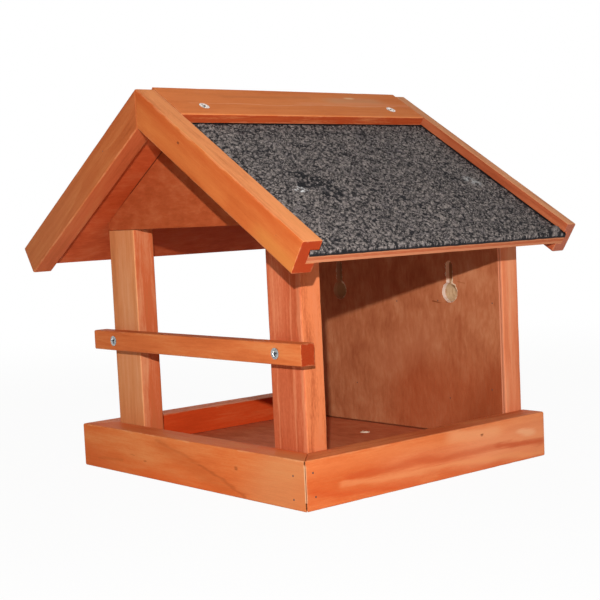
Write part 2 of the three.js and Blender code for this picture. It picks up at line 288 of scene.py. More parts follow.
# Bare wood on the walls of a hole, in its slot painted in shade, and in the hole on the left painted in shade
RAW_VENEER = ("ead2c2", "efbd98", "c39270")
RAW_WOOD = ("cdae8a", "b67c54", "b88c66")
# A painted highlight for the right side of the right hole, and streaks in the bare wood
RAW_PAINTED_HIGHLIGHT, RAW_STREAK = srgb("f2dcc0"), srgb("b48c68")
WORN = srgb("eaac7c")
GLOSS, FELT_GLOSS = 0.015, 0.25
# How squarely a face looks along a direction, where its share is none and where it is whole
SIDE_FACING = (0.75, 0.9)
PLY_EDGE_FACING = (0.6, 0.3)
HOLE_WALL_FACING = (0.7, 0.4)
PLIES = 3
# Places are squeezed along the grain by this share, which draws the marks out
MARK_SQUEEZE = 0.6
# The depth of the relief, in metres
TIMBER_RELIEF, VENEER_RELIEF, FIBRE_RELIEF = 0.0003, 0.0002, 0.0001
FELT_RELIEF, ZINC_RELIEF, STEEL_RELIEF = 0.0006, 0.0001, 0.00005


def points_of(node):
    return np.array([v.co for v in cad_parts[node].data.vertices]) / MM


def extents(node, directions):
    """The lowest and highest reach of a node in each direction."""
    reaches = [points_of(node) @ np.array(direction) for direction in directions]
    return [(reach.min(), reach.max()) for reach in reaches]


def edge_distance(paint, node, directions):
    """How far the surface is from the nearest edge of the board's box."""
    gaps = []
    for direction, (low, high) in zip(directions, extents(node, directions)):
        value = paint.along(direction)
        gaps.append(paint.least(value - low, high - value))
    a, b, c = gaps
    return paint.most(paint.least(a, b), paint.least(paint.most(a, b), c))


def timber(name, node, along, tone, seed, out=Y, spacing=8.0, lean=0.0, pith=(40, 30), rings=0.4, cloud=1.3,
           streak=0.55, fleck=0.4, wear=0.2, marks=(), seams=(), raw=None):
    """Stained softwood: rings, fibres, blotches of stain, redder end grain and arrises rubbed pale."""
    paint = Finish(name)
    across = along.cross(out)
    mid, pale, deep, side, end = (srgb(code) for code in TONES[tone])
    length, width, depth = paint.along(along), paint.along(across), paint.along(out)
    shift = seed * 37.0

    def figure(drawn, packed, detail, roughness=0.5):
        """Noise that is drawn out along the grain and packed close across it."""
        return paint.noise_at(length * drawn + shift, width * packed, depth * packed, detail, roughness)

    wander = figure(0.006, 0.02, 2.0)
    ripple = figure(0.03, 0.15, 3.0)
    blotch = figure(0.010, 0.05, 4.0, 0.6)
    fibres = figure(0.014, 0.32, 3.0, 0.6)
    patchy = figure(0.05, 0.2, 4.0, 0.7)
    fine = paint.noise_at(length * 0.05, width * 1.3 + shift, depth * 1.3, 4.0, 0.65)
    speck = paint.noise_at(length * 0.28, width * 0.9 + shift, depth * 0.9, 2.0, 0.6)

    # Growth rings round the pith, of which only some have a clear dark line
    u = width + length * lean + wander * 45 + ripple * 3 - pith[0]
    v = depth + wander * 15 - pith[1]
    ring = paint.root(u * u + v * v) / spacing + shift
    phase = paint.math("FRACT", ring)
    late = paint.rise(phase, 0.35, 0.92) * paint.rise(phase, 1.0, 0.95)
    clear = paint.noise_at(paint.math("FLOOR", ring) * 3.7, length * 0.006, shift, 1.0, 0.5)
    late = late * paint.rise(clear, -0.2, 0.25)

    # Stain on the faces and the sides
    tint = blotch * cloud * 2 + fibres * streak * 2 + fine * 0.7 + speck * fleck - late * rings + rings * 0.25
    sides = paint.rise(paint.faces(across), *SIDE_FACING)
    colour = paint.toned(paint.mix(sides, mid, side), tint, pale, deep)

    # Streaks, knots and patches of painted shade, with feathered edges
    feathered = paint.vector("ADD", paint.spot, paint.scaled(across, ripple * 7 + fibres * 3 + fine * 2))
    feathered = paint.vector("SUBTRACT", feathered, paint.scaled(along, length * MARK_SQUEEZE))
    long_marks = [([p - along * (p.dot(along) * MARK_SQUEEZE) for p in map(Vector, points)], *look)
                  for points, *look in marks]
    colour = paint.marked(colour, long_marks, feathered)

    # End grain, rubbed arrises, seams between boards and the walls of holes
    ends = paint.rise(paint.faces(along), *SIDE_FACING)
    pores = paint.noise(paint.spot, 1.3, 4.0, 0.7)
    end_colour = paint.mix(paint.rise(pores, -0.1, 0.25) * 0.5, end, deep)
    colour = paint.mix(ends * 0.9, colour, end_colour)
    edge = edge_distance(paint, node, (along, across, out))
    rubbed = paint.rise(edge - patchy * 6, 1.0, 0.1) * wear
    colour = paint.mix(rubbed, colour, WORN)
    colour = paint.marked(colour, seams, paint.spot)
    if raw:
        colour = raw(paint, colour, fine, out, RAW_WOOD)
    rough = 0.5 + fine * 0.25 + rubbed * 0.2 + ends * 0.15
    height = fine * 0.6 + fibres * 0.3 - late * 0.15
    return paint.surface(colour, rough, height, TIMBER_RELIEF, Specular_IOR_Level=GLOSS)


def plywood(name, node, along, tone, seed, out=Y, marks=(), seams=(), raw=None):
    """Rotary-cut veneer: soft wavy figure on the faces and three plies on the edges."""
    paint = Finish(name)
    across = along.cross(out)
    mid, pale, deep, edge_tone = (srgb(code) for code in PLY_TONES[tone])
    length, width, depth = paint.along(along), paint.along(across), paint.along(out)
    shift = seed * 29.0
    drift = paint.noise_at(length * 0.016 + shift, width * 0.024, 0.0, 4.0, 0.55)
    figure = paint.noise_at(length * 0.05 + shift, width * 0.10 + drift * 3, 0.0, 4.0, 0.6)
    flame = paint.noise_at(length * 0.10, width * 0.35 + drift * 5 + shift, 0.0, 3.0, 0.6)
    fine = paint.noise_at(length * 0.15 + shift, width * 1.2, depth * 1.2, 4.0, 0.6)
    tint = drift * 2.2 + figure * 2.4 + flame * 1.3 + fine * 0.6
    colour = paint.toned(mid, tint, pale, deep)
    colour = paint.marked(colour, marks, paint.wobbled(0.07, 4.0))
    low, high = extents(node, (out,))[0]
    ply = (depth - low) / (high - low) * PLIES
    edge = paint.rise(paint.faces(out), *PLY_EDGE_FACING)
    torn = paint.noise_at(length * 0.12, width * 0.12, depth * 2.5 + shift, 3.0, 0.6)
    middle = paint.rise(abs(ply - PLIES / 2 + torn), 0.55, 0.42)
    edge_colour = paint.mix(middle * 0.55, edge_tone, deep)
    edge_colour = paint.mix(paint.rise(torn, 0.05, 0.25) * 0.4, edge_colour, WORN)
    colour = paint.mix(edge, colour, edge_colour)
    colour = paint.marked(colour, seams, paint.spot)
    if raw:
        colour = raw(paint, colour, fine, out, RAW_VENEER)
    rough = 0.56 + fine * 0.2 + edge * 0.2
    return paint.surface(colour, rough, fine + flame * 0.4, VENEER_RELIEF, Specular_IOR_Level=GLOSS)


def raw_wall(paint, colour, gap, fine, out, bare):
    """Bare wood on the cut wall of a hole, and where its rim is torn."""
    wall = paint.rise(paint.faces(out), *HOLE_WALL_FACING) * paint.rise(gap, 1.2, 0.6)
    return paint.mix(paint.most(wall, paint.rise(gap + fine * 2, 0.25, -0.1)), colour, bare)


def raw_round_keyholes(paint, colour, fine, out, tones):
    """A round hole and the slot over it, at each of the two places, with painted shade in the slots and on
    the left hole, and a painted highlight on the right hole's wall.
    """
    in_hole, slot_painted_shade, dull = (srgb(code) for code in tones)
    x, y, z = paint.along(X), paint.along(Y), paint.along(Z)
    side = paint.least(abs(x - KEYHOLE_PLACES[0]), abs(x - KEYHOLE_PLACES[1]))
    rise = z - KEYHOLE_HEIGHT
    hole = paint.root(side * side + rise * rise) - KEYHOLE_RADIUS
    over = rise - paint.least(paint.most(rise, 0.0), KEYHOLE_RISE - KEYHOLE_SLOT)
    slot = paint.root(side * side + over * over) - KEYHOLE_SLOT
    streak = paint.noise_at(x * 0.5, y * 0.35, z * 0.06, 3.0, 0.6)
    # Painted highlight on the right side of the right hole
    bare = paint.mix(paint.rise(x - KEYHOLE_PLACES[1], 3.0, 7.0) * 0.6, in_hole, RAW_PAINTED_HIGHLIGHT)
    bare = paint.mix(paint.rise(streak, 0.0, 0.22), bare, RAW_STREAK)
    # Painted shade in the slots
    bare = paint.mix(paint.rise(rise, 8.5, 11.5), bare, slot_painted_shade)
    # Painted shade on the left hole
    bare = paint.mix(paint.rise(x, 5.0, -5.0), bare, dull)
    return raw_wall(paint, colour, paint.least(hole, slot), fine, out, bare)


def raw_round_drain(paint, colour, fine, out, tones):
    x, y = paint.along(X) - DRAIN_HOLE[0], paint.along(Y) - DRAIN_HOLE[1]
    gap = paint.root(x * x + y * y) - DRAIN_HOLE_RADIUS
    return raw_wall(paint, colour, gap, fine, out, srgb(tones[0]))


# Meshes
WELD = 0.001 * MM
FLAT_ANGLE, ARRIS_ANGLE, EASED_ANGLE = math.radians(1), math.radians(50), 0.2
BRUISE_SCALE, BRUISE_START, BRUISE_GAIN = 90, 0.25, 1.6


def new_piece(name, bm, material, node=None, angle=35):
    """A piece that is smooth up to this angle in degrees, in place of the node if one is named."""
    mesh = bpy.data.meshes.new(name)
    bm.to_mesh(mesh)
    bm.free()
    mesh.shade_smooth()
    mesh.set_sharp_from_angle(angle=math.radians(angle))
    mesh.materials.append(material)
    made = linked(name, mesh)
    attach(made, "root")
    if node:
        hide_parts(node)
    return made


def whole_faces(node):
    """The node's solid, with each flat face in one piece."""
    bm = bmesh.new()
    bm.from_mesh(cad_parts[node].data)
    bmesh.ops.remove_doubles(bm, verts=bm.verts, dist=WELD)
    bmesh.ops.dissolve_limit(bm, angle_limit=FLAT_ANGLE, verts=bm.verts, edges=bm.edges)
    return bm


def sliced(bm, along, step):
    """Cuts across the grain, so that long edges have points that can move."""
    reach = [v.co.dot(along) for v in bm.verts]
    low, high = min(reach), max(reach)
    count = max(2, round((high - low) / step))
    for i in range(1, count):
        place = along * (low + (high - low) * i / count)
        whole = bm.verts[:] + bm.edges[:] + bm.faces[:]
        bmesh.ops.bisect_plane(bm, geom=whole, plane_co=place, plane_no=along)


def sharpest(edges):
    return max((e.calc_face_angle(0) for e in edges if len(e.link_faces) == 2), default=0)


def board(node, material, along, ease=0.45 * MM, step=6 * MM, bruise=0.25 * MM, seed=0.0):
    """A sawn board: sharp edges eased, and small bruises along them."""
    bm = whole_faces(node)
    sharp = [e for e in bm.edges if e.is_convex and sharpest([e]) > ARRIS_ANGLE]
    bmesh.ops.bevel(bm, geom=sharp, offset=ease, segments=2, profile=0.5, affect="EDGES", clamp_overlap=True)
    sliced(bm, along, step)
    bm.normal_update()
    moves = []
    for v in bm.verts:
        if sharpest(v.link_edges) > EASED_ANGLE:
            knock = max(0.0, noise.noise(v.co * BRUISE_SCALE + Vector((seed, 0, 0))) - BRUISE_START)
            moves.append((v, v.normal * (knock * bruise * BRUISE_GAIN)))
    for v, move in moves:
        v.co -= move
    made = new_piece(f"{node}_timber", bm, material, node)
    made.modifiers.new("even_shading", "WEIGHTED_NORMAL").keep_sharp = True


# Places on the faces that the photograph shows
def front(*places, y=TRAY_FRONT):
    return [(x, y, z) for x, z in places]


def right(*places):
    return [(TRAY_SIDE, y, z) for y, z in places]


def slope(side, y, *places):
    return [on_slope(side, down, y, level) for down, level in places]


def ridge(*places):
    return [on_slope("right", down, y, 0) for down, y in places]


def sheet_edge(y, start, end):
    return slope("left", y, (start, SHEET_UNDERSIDE), (end, SHEET_UNDERSIDE))


post = functools.partial(front, y=POST_FRONT)
panel = functools.partial(front, y=PANEL_FRONT)
barge = functools.partial(slope, "right", BARGE_FRONT)

# Marks: a dot or a line, its radius, its colour and how strong it is
KNOT, DENT, GAP = "8a4424", "6b3218", "3a1a0d"
MITRE_SEAMS = [
    ([(139.7, -112.7, 7), (139.7, -112.7, 31)], 1.5, "f0cfa8", 0.5),
    (front((139.6, 34.5), (139.6, 33.0)), 1.0, GAP, 0.9),
    (front((139.8, 6.0), (139.8, 2.0)), 0.9, GAP, 0.9),
]
FRONT_MARKS = [
    (front((124, 30), (110, 6)), 24, "cb8c5c", 0.55),
    (front((-45, 2), (60, -4)), 12, "d75f28", 0.45),
    (front((-133, 14), (-118, 3)), 12, "cc6030", 0.4),
    (front((-28, 28), (21, 14), (66, 0)), 8, "bb5c2c", 0.35),
    (front((-33, 32), (-5, 25), (21, 18)), 1.8, "a04e26", 0.22),
    (front((21, 18), (50, 10), (73, 2)), 1.4, "a04e26", 0.42),
    (front((-118, 9), (-84, 10.5)), 1.4, "a85a2c", 0.25),
    (front((-51, 13.4)), 1.3, KNOT, 0.6),
    (front((64.8, 20.9)), 1.2, KNOT, 0.65),
    (front((-70, 16.5), (-66, 16.3)), 1.0, KNOT, 0.35),
]
RIGHT_MARKS = [
    (right((-15, 17), (45, 17)), 24, "e2875c", 0.4),
    (right((80, 17), (131, 17)), 30, "f0a274", 0.6),
    (right((-113, 12), (-60, 14)), 20, "ca5a2a", 0.5),
    (right((-110, 27), (-50, 29), (20, 30), (78, 31)), 8, "e68850", 0.35),
    (right((36, 30), (76, 28)), 7, "eda878", 0.5),
    (right((109, 23), (121, 21)), 3.6, "f0b488", 0.6),
    (right((-70, 18), (-33, 17), (0, 17.5), (36, 15.5), (81, 16), (131, 11.5)), 4.5, "c24e28", 0.5),
    (right((84, 16.5), (131, 12)), 4, "bb4522", 0.4),
    (right((-78, 14), (-45, 11.3), (-10, 10), (26, 10.3), (75, 7.5), (131, 3.7)), 3, "eda06a", 0.4),
    (right((-105, 12), (-79, 7.5), (-46, 5), (-10, 3)), 4, "c84c22", 0.45),
    (right((20, 4), (110, 0)), 4, "cc582c", 0.4),
    (right((-95, 0), (-20, -2)), 4, "e0824a", 0.4),
    (right((63.8, 26.3)), 1.0, DENT, 0.8),
]
PANEL_MARKS = [
    (panel((30, 38), (110, 34)), 64, "a64a27", 0.55),
    (panel((95, 30), (112, 60)), 26, "8c3c1e", 0.45),
    (panel((60, 12), (117, 18)), 18, "883a1e", 0.4),
    (panel((-10, 70), (40, 95)), 26, "b97350", 0.35),
    (panel((74, 60), (76, 110)), 3, "9c5030", 0.4),
    (panel((46.9, 122.4), (54, 121.8), (63, 121.9)), 0.9, "6e3318", 0.8),
    (panel((74.3, 138.3), (82, 137.3)), 0.9, "94502f", 0.5),
]
BARGE_MARKS = [
    (barge((8, 3), (60, 4), (120, 3.5), (165, 2.5), (200, 2)), 5.5, "b54a1e", 0.4),
    (barge((30, 16), (120, 17)), 7, "cf7a40", 0.35),
    (barge((180, 18), (204, 20)), 11, "cf8e48", 0.4),
    (barge((64.3, 9.1)), 0.9, GAP, 0.9),
    (barge((10, 20.8)), 1.8, "dfa57a", 0.5),
]
LEFT_BARGE_MARKS = [(slope("left", BARGE_FRONT, (160, 12), (209, 12)), 40, "cc8458", 0.25)]
RIDGE_MARKS = [
    (ridge((12, 52), (12, 88)), 9, "d9a078", 0.5),
    (ridge((6.5, 66), (6.5, 69)), 2.6, "f3c79a", 0.85),
    (ridge((20.3, -100), (20.3, 110)), 1.2, "f4b488", 0.45),
    (ridge((9, -60), (8, 20)), 4, "c87244", 0.4),
    (ridge((17.5, 10), (17.5, 126)), 5, "ee9a6c", 0.5),
]
POST_MARKS_AND_PAINTED_SHADE = [
    (post((89.3, 36), (89.3, 196)), 1.0, "e2966c", 0.35),
    (post((107.0, 36), (107.0, 196)), 1.4, "e2966c", 0.35),
    (post((115.4, 36), (115.4, 196)), 1.8, "e2966c", 0.35),
    # Painted shade at the top of the front face, under the barge board
    (post((80, 200), (114, 176)), 14, "b83c18", 0.6),
]
SHEET_SEAMS = [
    (sheet_edge(-120.3, 14, 207), 1.1, GAP, 0.75),
    (sheet_edge(POST_FRONT, 14, 108), 1.0, GAP, 0.75),
    (sheet_edge(POST_FRONT, 108, 128), 0.8, GAP, 0.3),
]
# Painted shade over the underside of the left sheet, behind the gable panel
SHEET_PAINTED_SHADE = [([on_slope("left", 110, y, SHEET_UNDERSIDE) for y in (-28, 114)], 130, "9a3612", 0.9)]
FLOOR_SEAMS = [([(-117, 113.4, FLOOR_TOP), (117, 113.4, FLOOR_TOP)], 1.3, GAP, 0.9)]

# How each board and sheet is cut, stained and marked
BOARDS = {
    "tray_board_front": dict(along=X, tone="amber", seed=1.3, spacing=15, lean=-0.27, pith=(-70, 40),
                             rings=0.3, streak=0.35, wear=0.4, marks=FRONT_MARKS, seams=MITRE_SEAMS),
    "tray_board_right": dict(along=Y, out=X, tone="bright", seed=2.1, spacing=9, lean=0.05, pith=(60, 30),
                             rings=0.25, cloud=1.0, streak=0.4, marks=RIGHT_MARKS, seams=MITRE_SEAMS),
    "tray_board_left": dict(along=Y, out=X, tone="ember", seed=3.7, pith=(50, -30), rings=0.2, streak=0.3),
    "post_front_left": dict(along=Z, tone="tan", seed=4.2, lean=0.03, pith=(-40, 25), rings=0.3),
    "post_front_right": dict(along=Z, tone="rose", seed=5.5, spacing=9, lean=-0.02, pith=(45, 30), rings=0.3,
                             fleck=1.1, marks=POST_MARKS_AND_PAINTED_SHADE),
    "post_rear_left": dict(along=Z, tone="tan", seed=6.1, spacing=6, pith=(-30, 30)),
    "post_rear_right": dict(along=Z, tone="peach", seed=7.4, pith=(35, 40), rings=0.25, streak=0.5),
    "rear_rail": dict(along=X, tone="tan", seed=8.2, spacing=7, pith=(30, 30)),
    "hanging_rail": dict(along=X, tone="tan", seed=9.6, spacing=6, pith=(-30, 40), raw=raw_round_keyholes),
    "perch_rail": dict(along=X, tone="perch", seed=10.3, spacing=5, lean=0.05, pith=(30, 20)),
    "barge_front_right": dict(along=DOWN["right"], tone="barge", seed=11.8, spacing=14, lean=0.1,
                              pith=(-60, 40), rings=0.2, cloud=1.0, streak=0.35, marks=BARGE_MARKS),
    "barge_front_left": dict(along=DOWN["left"], tone="umber", seed=12.5, spacing=9, lean=-0.05,
                             pith=(50, 30), streak=0.6, marks=LEFT_BARGE_MARKS),
    "barge_rear_right": dict(along=DOWN["right"], tone="shaded", seed=13.1, pith=(40, 30)),
    "barge_rear_left": dict(along=DOWN["left"], tone="umber", seed=14.9, pith=(40, -30)),
    "ridge_board_right": dict(along=Y, out=OUT["right"], tone="ridge", seed=15.4, spacing=11, pith=(30, -50),
                              rings=0.25, cloud=1.0, streak=0.4, marks=RIDGE_MARKS),
    "ridge_board_left": dict(along=Y, out=OUT["left"], tone="ridge", seed=16.2, pith=(-30, -50)),
}
PANELS = {
    "back_panel": dict(along=Z, tone="panel", seed=1.7, raw=raw_round_keyholes, marks=PANEL_MARKS),
    "gable_panel": dict(along=X, tone="gable", seed=2.9),
    "tray_floor": dict(along=X, out=Z, tone="floor", seed=3.3, raw=raw_round_drain, seams=FLOOR_SEAMS),
    "roof_sheet_right": dict(along=Y, out=OUT["right"], tone="roof", seed=4.1),
    "roof_sheet_left": dict(along=Y, out=OUT["left"], tone="roof", seed=5.2, marks=SHEET_PAINTED_SHADE,
                            seams=SHEET_SEAMS),
}

for node, grain in BOARDS.items():
    stained = timber(f"{node}_stain", node, **grain)
    board(node, stained, grain["along"], seed=grain["seed"])
for node, grain in PANELS.items():
    stained = plywood(f"{node}_stain", node, **grain)
    board(node, stained, grain["along"], ease=0.22 * MM, step=9 * MM, seed=grain["seed"])


# Mineral felt. Its places are how far down the slope and how far back.
FELT_SPACING = 0.75
FELT_UNSEEN_SPACING = (6.0, 3.0)
FELT_SEEN_FROM = 36.0
FELT_SEEN_BETWEEN = (-128.5, 128.0)
FLAKE = 2.3
CRUMB = FLAKE * 0.55
FLAKE_STRETCH = 2.0
# The flakes' long direction, down the slope and forward
LEAN_DOWN, LEAN_FORWARD = 0.67, 0.74
SWIRL_CELL, LUMP_CELL, BROAD_CELL = 1.7, 7, 24
# Worn places and spots of painted glint: a line's start and end, or a point, and a radius
RUBBED = (((114, -63), (124, -54), 8.5), ((126, -70), (129, -58), 7.0), ((127, -49), (139, -47), 7.0),
          ((138, -60), (145, -58), 6.0), ((119, 84), (125, 87), 6.0))
PAINTED_GLINTS = (((133.4, -83.6), 2.2), ((131.0, -76.6), 2.8), ((136.0, -78.2), 2.6), ((134.0, -73.5), 2.2),
            ((133.6, -79.0), 2.2))
SMOOTH_PATCH = ((131, -64), (134, -57), 7.0)
PALE_PATCH = ((127, 101), (132, 104), 7.0)
LIFTED_CORNER = ((205.0, 121.0), (208.0, 116.5), 6.0)
# Where the lowered gaps with painted contact shade along the ridge board and the rear barge board start, and
# how wide they fade
RIDGE_GAP_AND_SHADE, REAR_GAP_AND_SHADE, GAP_AND_SHADE_FADE = 38.6, 126.4, 0.8
LIFT_HEIGHT = 3.4
EAVE_DROOP, SHOULDER = 0.9, 1.6
# Dim, clear and violet flakes, threads, chips, then gaps, crevices and their depths as dark bitumen with
# painted shade, and painted glint
FELT_TONES = ("565052", "9c928e", "736e7c", "b9b0ac", "c2b9b5", "232124", "18171b", "08080a", "fafcff")


def eased(share):
    return share * share * (3 - 2 * share)


def lines_of(low, high, fine_low, fine_high, coarse):
    """Grid lines that are close together only where the felt is seen."""
    fine = np.arange(max(low, fine_low), min(high, fine_high), FELT_SPACING)
    parts = [np.arange(low, fine_low, coarse), fine, np.arange(fine_high, high, coarse), [high]]
    joined = np.unique(np.round(np.concatenate(parts), 4))
    keep = np.ones(len(joined), bool)
    keep[1:-1] = np.diff(joined)[:-1] > 0.2
    return joined[keep]


def smooth_noise(a, b, cell, rng):
    """Random values on a grid with this spacing, joined smoothly."""
    a, b = a / cell, b / cell
    i, j = np.floor(a).astype(int), np.floor(b).astype(int)
    i0, j0 = i.min(), j.min()
    grid = rng.random((i.max() - i0 + 2, j.max() - j0 + 2))
    s, t = eased(a - i), eased(b - j)
    i, j = i - i0, j - j0
    low = grid[i, j] * (1 - s) + grid[i + 1, j] * s
    high = grid[i, j + 1] * (1 - s) + grid[i + 1, j + 1] * s
    return low * (1 - t) + high * t


def flakes(a, b, cell, rng):
    """The nearest flake's random value, and how far each point is from a seam."""
    a, b = a / cell, b / cell
    i, j = np.floor(a).astype(int), np.floor(b).astype(int)
    i0, j0 = i.min() - 1, j.min() - 1
    shape = (i.max() - i0 + 3, j.max() - j0 + 3)
    seeds_a, seeds_b, values = (rng.random(shape) for _ in range(3))
    nearest = np.full(a.shape, 9.0)
    second = np.full(a.shape, 9.0)
    value = np.zeros(a.shape)
    for di in (-1, 0, 1):
        for dj in (-1, 0, 1):
            ci, cj = i + di - i0, j + dj - j0
            away = np.hypot(ci + i0 + seeds_a[ci, cj] - a, cj + j0 + seeds_b[ci, cj] - b)
            closer = away < nearest
            second = np.where(closer, nearest, np.minimum(second, away))
            value = np.where(closer, values[ci, cj], value)
            nearest = np.minimum(nearest, away)
    return value, second - nearest


def from_line(a, b, start, end):
    start, end = np.array(start), np.array(end)
    heading = end - start
    share = np.clip(((a - start[0]) * heading[0] + (b - start[1]) * heading[1]) / (heading @ heading), 0, 1)
    return np.hypot(a - start[0] - heading[0] * share, b - start[1] - heading[1] * share)


def near(distance, radius, fill=1.5):
    """0 from the radius outward, and 1 well inside it."""
    return np.clip(fill - fill * distance / radius, 0, 1)


def worn(a, b, slant, cross, crumb, rng):
    """How much each point of the right slope is rubbed, given painted glints, pale, bare and lifted."""
    rub = np.zeros(a.shape)
    for start, end, radius in RUBBED:
        rub = np.maximum(rub, near(from_line(a, b, start, end), radius, 1.8))
    broken = np.clip(smooth_noise(slant, cross, 1.5, rng) * 5.0 - 1.4, 0, 1)
    rub = rub * broken * np.where(crumb > 0.7, 0.2, 1.0)
    pale, bare, lift = (near(from_line(a, b, start, end), radius)
                        for start, end, radius in (PALE_PATCH, SMOOTH_PATCH, LIFTED_CORNER))
    # Painted glints on bright crumbs of the pale patch, and at the listed spots
    painted_glint = 0.4 * pale * (crumb > 0.4)
    for (down, y), radius in PAINTED_GLINTS:
        painted_glint = np.maximum(painted_glint, near(np.hypot(a - down, b - y), radius) * (crumb > 0.5))
    return rub, painted_glint, pale, bare, eased(lift)


def flaked(side, a, b, to_eave, rng):
    """Flakes with crevices between them: their height, and the layers for the material."""
    slant = (a * LEAN_DOWN - b * LEAN_FORWARD) / FLAKE_STRETCH
    slant = slant + (smooth_noise(a, b, SWIRL_CELL, rng) - 0.5) * 1.4
    cross = a * LEAN_FORWARD + b * LEAN_DOWN + (smooth_noise(a, b, SWIRL_CELL, rng) - 0.5) * 1.6
    tone, seam = flakes(slant, cross, FLAKE, rng)
    crumb = flakes(slant, cross, CRUMB, rng)[0]
    lumps = smooth_noise(a, b, LUMP_CELL, rng) - 0.5
    broad = smooth_noise(a, b, BROAD_CELL, rng) - 0.5
    # Crevices between flakes are darkened in colour: the dark bitumen, with painted shade on top
    pit_and_shade = 1 - np.clip(seam / (0.22 + 0.34 * smooth_noise(a, b, 3.1, rng)), 0, 1)
    pit_and_shade = pit_and_shade * np.clip(1.6 * smooth_noise(a, b, 2.3, rng), 0, 1)
    # A lowered strip along the ridge board and the rear barge board, darkened with painted contact shade
    gap = np.clip((RIDGE_GAP_AND_SHADE - a) / GAP_AND_SHADE_FADE, 0, 1)
    gap = np.maximum(gap, np.clip((b - REAR_GAP_AND_SHADE) / GAP_AND_SHADE_FADE, 0, 1))
    wear = worn(a, b, slant, cross, crumb, rng) if side == "right" else np.zeros((5, *a.shape))
    rub, painted_glint, pale, bare, lift = wear
    # A ring of painted shade round the lifted corner
    pit_and_shade = pit_and_shade * (1 - 0.9 * bare) * (1 - lift) + 2.4 * lift * (1 - lift)
    light = 0.55 * tone + 0.45 * crumb + 0.35 * lumps + 0.25 * broad + 0.25 * pale
    light = np.clip(light - 0.12 * (b + 128) / 256, 0, 1) * (1 - bare)
    flecks = np.exp(-((to_eave - 2.2) / 1.4) ** 2) * (crumb > 0.6)
    light = np.clip(light + 0.5 * flecks, 0, 1.2) * (1 - lift) + 0.35 * lift
    height = -1.0 * pit_and_shade * (1 - pale) - 0.5 * (1 - light) + 0.3 * lumps - 0.5 * rub + 0.15 * painted_glint
    height = np.minimum(height - 0.05, 0.1) - 0.4 * gap + LIFT_HEIGHT * lift
    height = height - 0.9 * np.exp(-(to_eave / 1.2) ** 2) * (0.4 + 0.6 * smooth_noise(a, b, 4.0, rng))
    pit_and_shade = np.maximum.reduce([pit_and_shade, rub, gap * 0.8])
    return height, {"light": light * (1 - 0.6 * rub), "pit_and_shade": pit_and_shade, "painted_glint": painted_glint}


def felt(side, material, seed):
    """A sheet of felt: a flaked top, edges that droop raggedly at the eave, and a plain underside."""
    rng = np.random.default_rng(seed)
    node = f"roof_felt_{side}"
    base = RIDGE_TOP.dot(DOWN[side])
    (down_low, down_high), (y_low, y_high), (bottom, top) = extents(node, (DOWN[side], Y, OUT[side]))
    down_low, down_high = down_low - base + (top - bottom) * math.tan(PITCH), down_high - base
    downs = lines_of(down_low, down_high, FELT_SEEN_FROM, down_high, FELT_UNSEEN_SPACING[0])
    ys = lines_of(y_low, y_high, *FELT_SEEN_BETWEEN, FELT_UNSEEN_SPACING[1])
    a, b = np.meshgrid(downs, ys, indexing="ij")
    height, layers = flaked(side, a, b, (downs[-1] - downs)[:, None], rng)

    def spots(down, y, level):
        parts = ((down + base, DOWN[side]), (y, Y), (level, OUT[side]))
        joined = sum(np.asarray(value)[..., None] * np.array(direction) for value, direction in parts)
        return joined.reshape(-1, 3)

    # The top, and the rim that is carried down from it in three rings
    index = np.arange(a.size).reshape(a.shape)
    quads = np.stack([index[:-1, :-1], index[1:, :-1], index[1:, 1:], index[:-1, 1:]], axis=-1)
    rim = np.concatenate([index[0, :-1], index[:-1, -1], index[-1, :0:-1], index[:0:-1, 0]])
    rim_a, rim_b = a.reshape(-1)[rim], b.reshape(-1)[rim]
    eave = rim_a > downs[-1] - 0.01
    droop = EAVE_DROOP * (0.7 + 0.6 * smooth_noise(rim_b, rim_b, 9.0, rng))
    turn = SHOULDER * (0.75 + 0.5 * smooth_noise(rim_b, rim_b, 1.6, rng))
    shoulder = spots(rim_a + 0.3 * eave, rim_b, top - np.where(eave, turn, 1.0))
    outer = spots(rim_a + 0.5 * eave, rim_b, np.where(eave, bottom - droop, (top + bottom) / 2 - 0.3))
    inner = spots(rim_a, rim_b, bottom + 0 * rim_a)
    rings = [rim] + [np.arange(len(rim)) + a.size + len(rim) * k for k in range(3)]
    faces = quads.reshape(-1, 4).tolist()
    for high, low in zip(rings, rings[1:]):
        faces += np.stack([high, low, np.roll(low, 1), np.roll(high, 1)], axis=-1).tolist()
    faces.append(rings[-1].tolist())
    places = np.concatenate([spots(a, b, top + height), shoulder, outer, inner])
    mesh = bpy.data.meshes.new(node)
    mesh.from_pydata((places * MM).tolist(), [], faces)

    # The cut edges are all crevice, apart from the eave, where the flakes go on over the shoulder
    for name, values in layers.items():
        values = values.reshape(-1)
        cut = 1.0 if name == "pit_and_shade" else 0.0
        padded = np.concatenate([values, np.where(eave, values[rim], cut), np.full(2 * len(rim), cut)])
        mesh.attributes.new(name, "FLOAT", "POINT").data.foreach_set("value", padded.astype(np.float32))
    bm = bmesh.new()
    bm.from_mesh(mesh)
    bpy.data.meshes.remove(mesh)
    bmesh.ops.recalc_face_normals(bm, faces=bm.faces)
    new_piece(f"{node}_flaked", bm, material, node, angle=60)


